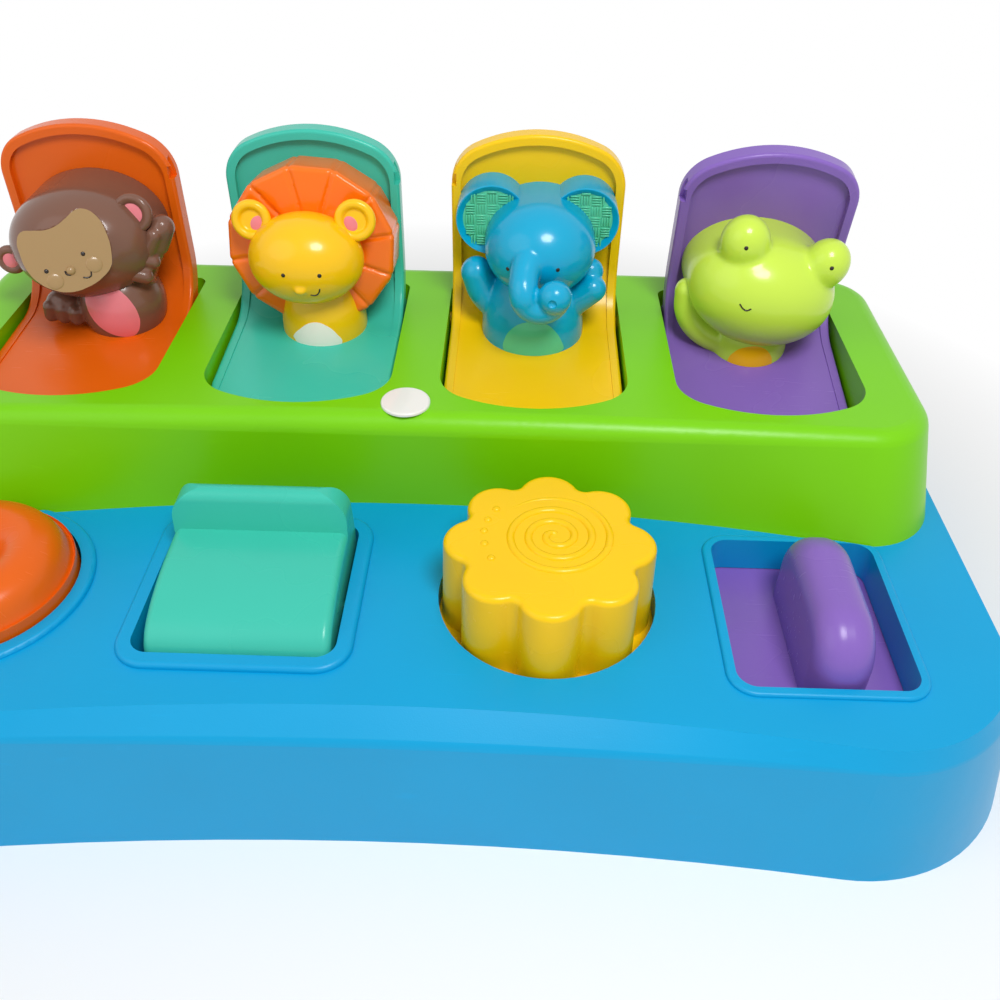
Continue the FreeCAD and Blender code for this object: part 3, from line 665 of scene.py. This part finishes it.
class TOY_OT_controls(bpy.types.Operator):
    """Finish the four controls and model the relief on the flower knob"""
    bl_idname = "toy.controls"
    bl_label = "Controls"

    def execute(self, context):
        dress("ring_button", coloured(context, "orange"))
        dress("teal_flap", coloured(context, "teal"))
        dress("flower_knob", coloured(context, "yellow"))
        dress("purple_slider", coloured(context, "purple"))
        low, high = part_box("flower_knob")
        aside = Vector((1.6, 2.0, 0)) * MM
        middle = (low + high) / 2 + aside
        middle.z = high.z
        self.spiral(context, middle)
        self.dots(context, middle)
        return {"FINISHED"}

    def spiral(self, context, middle):
        """Raised spiral of three turns, wound in clockwise, with tapered ends."""
        turns, outer, inner = 3.1, 17.0, 1.5
        start, sunk, thick = math.radians(135), 0.45, 1.25
        steps = 48
        points, radii = [], []
        for i in range(steps + 1):
            part = i / steps
            swing = start - part * turns * 2 * math.pi
            reach = (outer + (inner - outer) * part) * MM
            points.append(middle + Vector((math.cos(swing) * reach, math.sin(swing) * reach, -sunk * MM)))
            radii.append(min(thick, 0.5 + 6 * part, 0.9 + 5 * (1 - part)))
        self.finish(context, limb(points, radii), "knob_spiral")

    def dots(self, context, middle):
        """Arc of five dots beside the spiral's start."""
        reach, sunk, half = 20.2 * MM, 0.2 * MM, (1.15, 1.15, 0.9)
        made = []
        for degrees in (147, 162, 176, 191, 208.5):
            swing = math.radians(degrees)
            place = middle + Vector((math.cos(swing) * reach, math.sin(swing) * reach, -sunk))
            made.append(ball(place, half))
        self.finish(context, joined(made), "knob_dots")

    def finish(self, context, obj, name):
        obj.name = name
        obj.data.materials.append(coloured(context, "yellow"))
        smooth(obj)
        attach(obj, "flower_knob")


def cup_ear(door, dx, dy, dz, radius, rim, lean):
    """Ear as a dished disc with a round rim, facing the front; sizes in mm, lean in degrees."""
    turn = (math.radians(90 - lean), 0, 0)
    bpy.ops.mesh.primitive_torus_add(major_segments=48, minor_segments=20, major_radius=(radius - rim) * MM,
                                     minor_radius=rim * MM, rotation=turn, location=door.at(dx, dy, dz))
    ring = settle(bpy.context.object)
    thick, wide = rim * 0.75, radius - rim * 0.6
    dish = ball(door.at(dx, dy + thick, dz), (wide, thick, wide), 0, lean)
    return joined([ring, dish])


def inked(carrier, eyes, lines, name, door, slot, ink):
    """Eyes and drawn lines of one animal, given in pixels, as a single inked piece."""
    sizes = bpy.context.scene.toy_sizes
    marks = [dot(carrier, *eye, sizes.eye, sizes.dome) for eye in eyes]
    marks += [stroke(carrier, line, sizes.line) for line in lines]
    return present(joined(marks), name, door, slot, ink)


class TOY_OT_monkey(bpy.types.Operator):
    """Model the monkey on the orange door"""
    bl_idname = "toy.monkey"
    bl_label = "Monkey"

    # points of the camera's picture, in pixels
    MASK = ((81.5, 209.4), (94.8, 216), (105.7, 234.2), (110.6, 254.8), (110, 265.7), (102, 276.6),
            (87.5, 286.3), (70.6, 291.2), (54.8, 289.4), (40.3, 282.7), (28.2, 270.6), (20.9, 254.8),
            (17.9, 240.3), (22, 232.4), (31.8, 231.2), (45.1, 230.6), (56, 226.3), (65.7, 218.5),
            (73, 211.8))
    EYES = ((46.4, 271.4), (82.9, 253.8))
    SMILE = ((83.9, 277.5), (88, 277.6), (91, 275.8), (91.2, 272))
    LIP = ((65.2, 271.5), (66.5, 274.2), (70, 275), (73, 273.6))
    CHEEKS = ((55.4, 281.5), (94.2, 264.5))
    NOSE = (70.8, 270.6)
    TUMMY = ((111.8, 285.7), (120.3, 291.2), (131.2, 302.1), (138.4, 314.2), (140.3, 323.9), (137.2, 333.6),
             (126.3, 339), (113, 341), (99.7, 337.5), (88.8, 327.5), (83, 311.8), (83, 300.9), (87.6, 292),
             (99.7, 286))

    def execute(self, context):
        tones, sizes = context.scene.toy_animals, context.scene.toy_sizes
        door = Door("orange_door")
        coat = vinyl("monkey vinyl", tones.monkey)
        tan = vinyl("monkey face vinyl", tones.monkey_face)
        pink = vinyl("pink vinyl", tones.pink)
        ink = vinyl("ink", tones.ink)
        head = melt([bulge(door, 0.1, -14, 33.5, (24, 18.6), 18.6, -5)], sizes.coarse, 4)
        seat(head, door)
        block = prism(head, self.MASK, 6)
        face = carve(swollen(head, -sizes.step), block, "INTERSECT", keep_tool=True)
        carve(head, block, "DIFFERENCE")
        head = melt([head], sizes.fine, 2)
        present(head, "monkey_coat", door, "monkey_brown", coat, "monkey_head")
        inked(face, self.EYES, (self.SMILE, self.LIP), "monkey_eyes", door, "monkey_brown", ink)
        cheeks = [dot(face, *place, sizes.cheek, sizes.cheek_height) for place in self.CHEEKS]
        cheeks.append(dot(face, *self.NOSE, sizes.nose, sizes.nose_height))
        present(joined(cheeks), "monkey_cheeks", door, "monkey_brown", tan)
        present(face, "monkey_face", door, "monkey_brown", tan)
        self.ears(door, sizes, coat, pink)
        self.body(door, sizes, coat, pink)
        return {"FINISHED"}

    def ears(self, door, sizes, coat, pink):
        right = cup_ear(door, 19.2, -15.5, 44.2, 6.6, 1.7, lean=15)
        left = cup_ear(door, -24.5, -18.0, 28.0, 5.0, 1.5, lean=5)
        rings = melt([right, left], sizes.fine, 2)
        present(rings, "monkey_ear_rings", door, "monkey_brown", coat, "monkey_ears")
        pads = [ball(door.at(19.2, -15.6, 44.1), (4.2, 1.0, 4.2), 0, 15),
                ball(door.at(-24.5, -18.4, 28.0), (3.2, 1.0, 3.2), 0, 5)]
        present(joined(pads), "monkey_ear_pads", door, "monkey_brown", pink)

    def body(self, door, sizes, coat, pink):
        torso = ball(door.at(7.4, -12, 10.5), (14.5, 15, 16))
        shoulder, elbow, wrist = door.at(15, -12, 20), door.at(19, -12.5, 26), door.at(23, -12.5, 32)
        arm = limb([shoulder, elbow, wrist], [5.4, 4.6, 4.2])
        hand = limb([door.at(23.8, -12.5, 32.5), door.at(26.8, -12.5, 38.4)], [4.2, 4.2])
        thumb = limb([door.at(22.3, -16.8, 32.6), door.at(25, -16.5, 37.2)], [2.6, 2.6])
        rings = [limb([door.at(18.2, -18.5, 29.8), door.at(23.2, -17, 28)], [2.6, 2.4]),
                 limb([door.at(14.6, -21, 26), door.at(20.4, -19.5, 23.8)], [2.8, 2.6])]
        paw = ball(door.at(-11.5, -17, 11), (6.2, 5, 5.6), 10)
        fingers = []
        for i in range(3):
            knuckle = door.at(-15 + 4.2 * i, -20.5, 12 - i)
            tip = door.at(-15.4 + 4.4 * i, -20.5, 8.6 - 0.6 * i)
            fingers.append(limb([knuckle, tip], [2.4, 2.3]))
        body = seat(melt([torso, arm, hand, thumb, paw] + rings + fingers, sizes.coarse, 3), door)
        belly = patch(body, self.TUMMY, sizes.paint)
        present(body, "monkey_body_coat", door, "monkey_brown", coat, "monkey_body")
        present(belly, "monkey_tummy", door, "monkey_brown", pink)


class TOY_OT_lion(bpy.types.Operator):
    """Model the lion on the teal door"""
    bl_idname = "toy.lion"
    bl_label = "Lion"

    # points of the camera's picture, in pixels
    EYES = ((283.1, 275.5), (319.4, 275.9))
    SMILE = ((311.1, 295), (315.6, 295.3), (319, 292.5), (319.7, 289.3))
    TUMMY = ((292.6, 339.7), (301.6, 327.6), (314.3, 322.5), (327.1, 326.3), (337.3, 334.6), (342.4, 342),
             (331, 351), (316.9, 352), (302, 349))

    def execute(self, context):
        tones, sizes = context.scene.toy_animals, context.scene.toy_sizes
        door = Door("teal_door")
        skin = vinyl("lion vinyl", tones.lion)
        mane_tone = vinyl("mane vinyl", tones.mane)
        pink = vinyl("pink vinyl", tones.pink)
        white = vinyl("lion tummy vinyl", tones.lion_tummy)
        ink = vinyl("ink", tones.ink)
        head = ball(door.at(0.2, -21.5, 33), (19.0, 14.9, 14.9), 1)
        nose = ball(door.at(0.2, -35.8, 28.3), (1.9, 1.3, 1.2))
        head = melt([head, nose], sizes.coarse, 3)
        inked(head, self.EYES, (self.SMILE,), "lion_eyes", door, "lion_yellow", ink)
        present(head, "lion_head", door, "lion_yellow", skin, "lion_face")
        rim, lean = 1.5, 12
        ears = [cup_ear(door, -16.6, -20, 45.1, 6.5, rim, lean),
                cup_ear(door, 17.0, -20, 45.8, 6.8, rim, lean)]
        present(melt(ears, sizes.fine, 2), "lion_ear_rings", door, "lion_yellow", skin, "lion_ears")
        pads = [ball(door.at(-14.6, -19.6, 43.7), (3.0, 1.1, 3.1), 0, lean),
                ball(door.at(15.4, -19.6, 44.4), (2.9, 1.1, 3.1), 0, lean)]
        present(joined(pads), "lion_ear_pads", door, "lion_yellow", pink)
        self.mane(door, sizes, mane_tone)
        torso = ball(door.at(2.3, -12.9, 5), (14.8, 14.6, 22))
        shoulder, elbow, paw = door.at(12, -10, 12), door.at(18, -10.5, 18), door.at(22.4, -10.5, 22)
        arm = limb([shoulder, elbow, paw], [4.8, 4.4, 3.9])
        body = seat(melt([torso, arm], sizes.coarse, 3), door)
        belly = patch(body, self.TUMMY, sizes.paint)
        present(body, "lion_body_skin", door, "lion_yellow", skin, "lion_body")
        present(belly, "lion_tummy", door, "lion_yellow", white)
        return {"FINISHED"}

    def mane(self, door, sizes, tone):
        """Ring of twelve locks with soft edges, divided by grooves."""
        locks, wide, high = 12, 27.6, 26.2
        lean, roll = math.radians(8), math.radians(4)
        first = self.lock(2 * math.pi / locks, wide)
        ring = [first]
        for i in range(1, locks):
            made = copy_of(first)
            made.rotation_euler = (0, 2 * math.pi * i / locks, 0)
            ring.append(settle(made))
        mane = joined(ring)
        mane.scale = (1, 1, high / wide)
        mane.rotation_mode = "YXZ"
        mane.rotation_euler = (-lean, roll, 0)
        mane.location = door.at(0.6, -15.5, 33.6)
        settle(mane)
        mane = melt([mane], sizes.fine, 1)
        present(seat(mane, door), "lion_mane_locks", door, "mane_orange", tone, "lion_mane")

    def lock(self, spread, reach):
        """Wedge that fills its share of the ring, with soft edges and a tip reach mm from the middle."""
        fullness, deep, root, soft = 1.02, 26, 0.16, 1.7
        wide = 2 * math.tan(spread / 2) * fullness
        bpy.ops.mesh.primitive_cube_add(size=1, location=(0, deep / 2 * MM, reach / 2 * MM),
                                        scale=(wide * reach * MM, deep * MM, reach * MM))
        obj = settle(bpy.context.object)
        edit(obj, "VERT")
        choose(obj, "VERT", lambda v: v.co.z < MM)
        bpy.ops.transform.resize(value=(root, 1, 1))
        bpy.ops.transform.translate(value=(0, 0, root * reach * MM))
        edit(obj, "EDGE")
        bpy.ops.mesh.bevel(offset=soft * MM, segments=4, profile=0.5, affect="EDGES")
        leave()
        return obj


class TOY_OT_elephant(bpy.types.Operator):
    """Model the elephant on the yellow door"""
    bl_idname = "toy.elephant"
    bl_label = "Elephant"

    # points of the camera's picture, in pixels
    EYES = ((507.7, 269), (557.9, 270))
    TUMMY = ((503, 349.4), (505, 337.3), (513, 327.9), (523.7, 323), (545.2, 324), (554.5, 330.6),
             (561.2, 340), (563.9, 350), (552, 362), (533, 365), (514, 361))

    def execute(self, context):
        tones, sizes = context.scene.toy_animals, context.scene.toy_sizes
        door = Door("yellow_door")
        skin = vinyl("elephant vinyl", tones.elephant)
        woven = vinyl("elephant ear vinyl", tones.elephant_ear)
        ink = vinyl("ink", tones.ink)
        head = bulge(door, 1.1, -13.5, 35.3, (18.5, 15.7), 17.5, 0)
        head = seat(melt([head, self.trunk(door)], sizes.coarse, 3), door)
        nostril = ball(door.at(4.9, -44, 30.2), (1.5, 1.2, 1.5))
        carve(head, nostril, "DIFFERENCE")
        inked(head, self.EYES, (), "elephant_eyes", door, "elephant_blue", ink)
        present(head, "elephant_face", door, "elephant_blue", skin, "elephant_head", "elephant_trunk")
        self.ears(door, sizes, skin, woven)
        torso = ball(door.at(-0.4, -12.6, 5), (17.7, 17.3, 26))
        left = limb([door.at(-10, -11, 10), door.at(-17, -11, 17), door.at(-20.2, -11, 24.4)], [6, 5.9, 5.4])
        right = limb([door.at(10, -14, 13), door.at(16, -16, 19), door.at(19.4, -16.6, 22)], [5.4, 5, 4.7])
        hand = ball(door.at(18.6, -12.6, 26.4), (4.4, 4.2, 4.6))
        body = seat(melt([torso, left, right, hand], sizes.coarse, 3), door)
        belly = patch(body, self.TUMMY, sizes.paint)
        present(body, "elephant_body_skin", door, "elephant_blue", skin, "elephant_body")
        present(belly, "elephant_tummy", door, "elephant_blue", woven)
        return {"FINISHED"}

    def trunk(self, door):
        """Trunk that falls from the head and curls in to its tip."""
        middle_x, front, middle_z = 1.3, -36.5, 29.5
        half_wide, half_high, thick = 5.2, 5.1, 4.8
        points, radii = [door.at(-2.4, -26, 37), door.at(-4.0, -32, 33.6)], [5.6, thick]
        for degrees in (185, 215, 245, 275, 305, 335, 360):
            swing = math.radians(degrees)
            dx, dz = middle_x + half_wide * math.cos(swing), middle_z + half_high * math.sin(swing)
            points.append(door.at(dx, front, dz))
            radii.append(thick)
        return joined([limb(points, radii), ball(door.at(5.8, -38.8, 30), (5.4, 5.1, 5.4))])

    def ears(self, door, sizes, skin, woven):
        """Two round ears with a rim, and basket weave in the hollow."""
        deep, front_face, rim, hollow, soft = 14, -9, 2.2, 1.9, 0.8
        rings, bars = [], []
        for dx, dz, radius in ((-15.2, 41.8, 12.0), (15.6, 42, 11.6)):
            middle = door.at(dx, front_face + deep / 2, dz)
            bpy.ops.mesh.primitive_cylinder_add(vertices=64, radius=radius * MM, depth=deep * MM,
                                                rotation=(math.pi / 2, 0, 0), location=middle)
            ear = settle(bpy.context.object)
            front = door.at(0, front_face, 0).y
            edit(ear)
            choose(ear, "FACE", lambda f: f.center.y < front + 0.1 * MM)
            bpy.ops.mesh.inset(thickness=rim * MM)
            bpy.ops.transform.translate(value=(0, hollow * MM, 0))
            leave()
            modify(ear, "BEVEL", width=soft * MM, segments=4, angle_limit=math.radians(50))
            rings.append(seat(ear, door))
            bars += self.weave(door, dx, front_face + hollow, dz, radius - 2.4)
        present(joined(rings), "elephant_ear_rims", door, "elephant_blue", skin, "elephant_ears")
        present(joined(bars), "elephant_ear_weave", door, "elephant_blue", woven)

    def weave(self, door, dx, dy, dz, radius):
        """Blocks of four bars, upright and level by turns, that fill a circle."""
        cell, pitch, margin = 3.6, 0.88, 0.5
        along, proud, across = 1.5, 0.9, 0.27
        backing = ball(door.at(dx, dy + 0.7, dz), (radius + 2, 1.3, radius + 2))
        made = [backing]
        half = int(radius / cell) + 1
        for i in range(-half, half + 1):
            for j in range(-half, half + 1):
                for k in (-1.5, -0.5, 0.5, 1.5):
                    level = (i + j) % 2
                    x = i * cell + (0 if level else k * pitch)
                    z = j * cell + (k * pitch if level else 0)
                    if math.hypot(x, z) > radius + margin:
                        continue
                    size = (along, proud, across) if level else (across, proud, along)
                    made.append(self.bar(door.at(dx + x, dy, dz + z), size))
        return made

    def bar(self, place, half):
        bpy.ops.mesh.primitive_cube_add(size=2 * MM, location=place, scale=half)
        obj = settle(bpy.context.object)
        edit(obj, "EDGE")
        bpy.ops.mesh.bevel(offset=0.14 * MM, segments=1, affect="EDGES")
        leave()
        return obj


class TOY_OT_frog(bpy.types.Operator):
    """Model the frog on the purple door"""
    bl_idname = "toy.frog"
    bl_label = "Frog"

    # points of the camera's picture, in pixels
    EYES = ((746.3, 248.3), (831.9, 268.4))
    SMILE = ((740.1, 304.4), (743.3, 308.9), (746.8, 310.6), (750.8, 309.2))
    TUMMY = ((727.3, 361.5), (734.5, 351.9), (745.7, 347.5), (761.6, 347.5), (769.6, 353.5), (772, 361),
             (768, 372), (750, 375), (732, 371))

    def execute(self, context):
        tones, sizes = context.scene.toy_animals, context.scene.toy_sizes
        door = Door("purple_door")
        skin = vinyl("frog vinyl", tones.frog)
        amber = vinyl("frog tummy vinyl", tones.frog_tummy)
        ink = vinyl("ink", tones.ink)
        head = bulge(door, -0.2, -16.5, 24, (25.2, 18.9), 20, 12.4)
        eyes = [ball(door.at(-9.5, -22.3, 42.8), (8.2, 7.6, 9)),
                ball(door.at(17.9, -22.3, 36.2), (7.6, 7.4, 8.4), 20)]
        head = seat(melt([head] + eyes, sizes.coarse, 40), door)
        inked(head, self.EYES, (self.SMILE,), "frog_pupils", door, "frog_lime", ink)
        present(head, "frog_face", door, "frog_lime", skin, "frog_head", "frog_eyes")
        torso = ball(door.at(-0.5, -13.7, 1), (13.6, 13.4, 17))
        arm = limb([door.at(-23.8, -14, 21), door.at(-22.8, -14.5, 13.5), door.at(-18.5, -15.5, 7.5),
                    door.at(-10, -17, 3)], [4.5, 4.6, 4.7, 4.6])
        body = seat(melt([torso, arm], sizes.coarse, 4), door)
        belly = patch(body, self.TUMMY, sizes.paint)
        present(body, "frog_body_skin", door, "frog_lime", skin, "frog_body")
        present(belly, "frog_tummy", door, "frog_lime", amber)
        return {"FINISHED"}


class TOY_PT_panel(bpy.types.Panel):
    """Sidebar panel that lists the steps of the toy"""
    bl_idname = "TOY_PT_panel"
    bl_label = "Pop-up animal toy"
    bl_space_type = "VIEW_3D"
    bl_region_type = "UI"
    bl_category = "Toy"

    def draw(self, context):
        for step in STEPS:
            self.layout.operator(step.bl_idname)


STEPS = (TOY_OT_studio, TOY_OT_casing, TOY_OT_controls, TOY_OT_monkey, TOY_OT_lion, TOY_OT_elephant,
         TOY_OT_frog)
GROUPS = {"toy_casing": CasingColours, "toy_animals": AnimalColours, "toy_sizes": AnimalSizes,
          "toy_studio": StudioSettings}


def register():
    for cls in (*GROUPS.values(), *STEPS, TOY_PT_panel):
        bpy.utils.register_class(cls)
    for name, cls in GROUPS.items():
        setattr(bpy.types.Scene, name, PointerProperty(type=cls))


def unregister():
    for name in GROUPS:
        delattr(bpy.types.Scene, name)
    for cls in (TOY_PT_panel, *reversed(STEPS), *reversed(list(GROUPS.values()))):
        bpy.utils.unregister_class(cls)


def main():
    register()
    for step in STEPS:
        group, name = step.bl_idname.split(".")
        getattr(getattr(bpy.ops, group), name)()


if __name__ == "__main__":
    main()
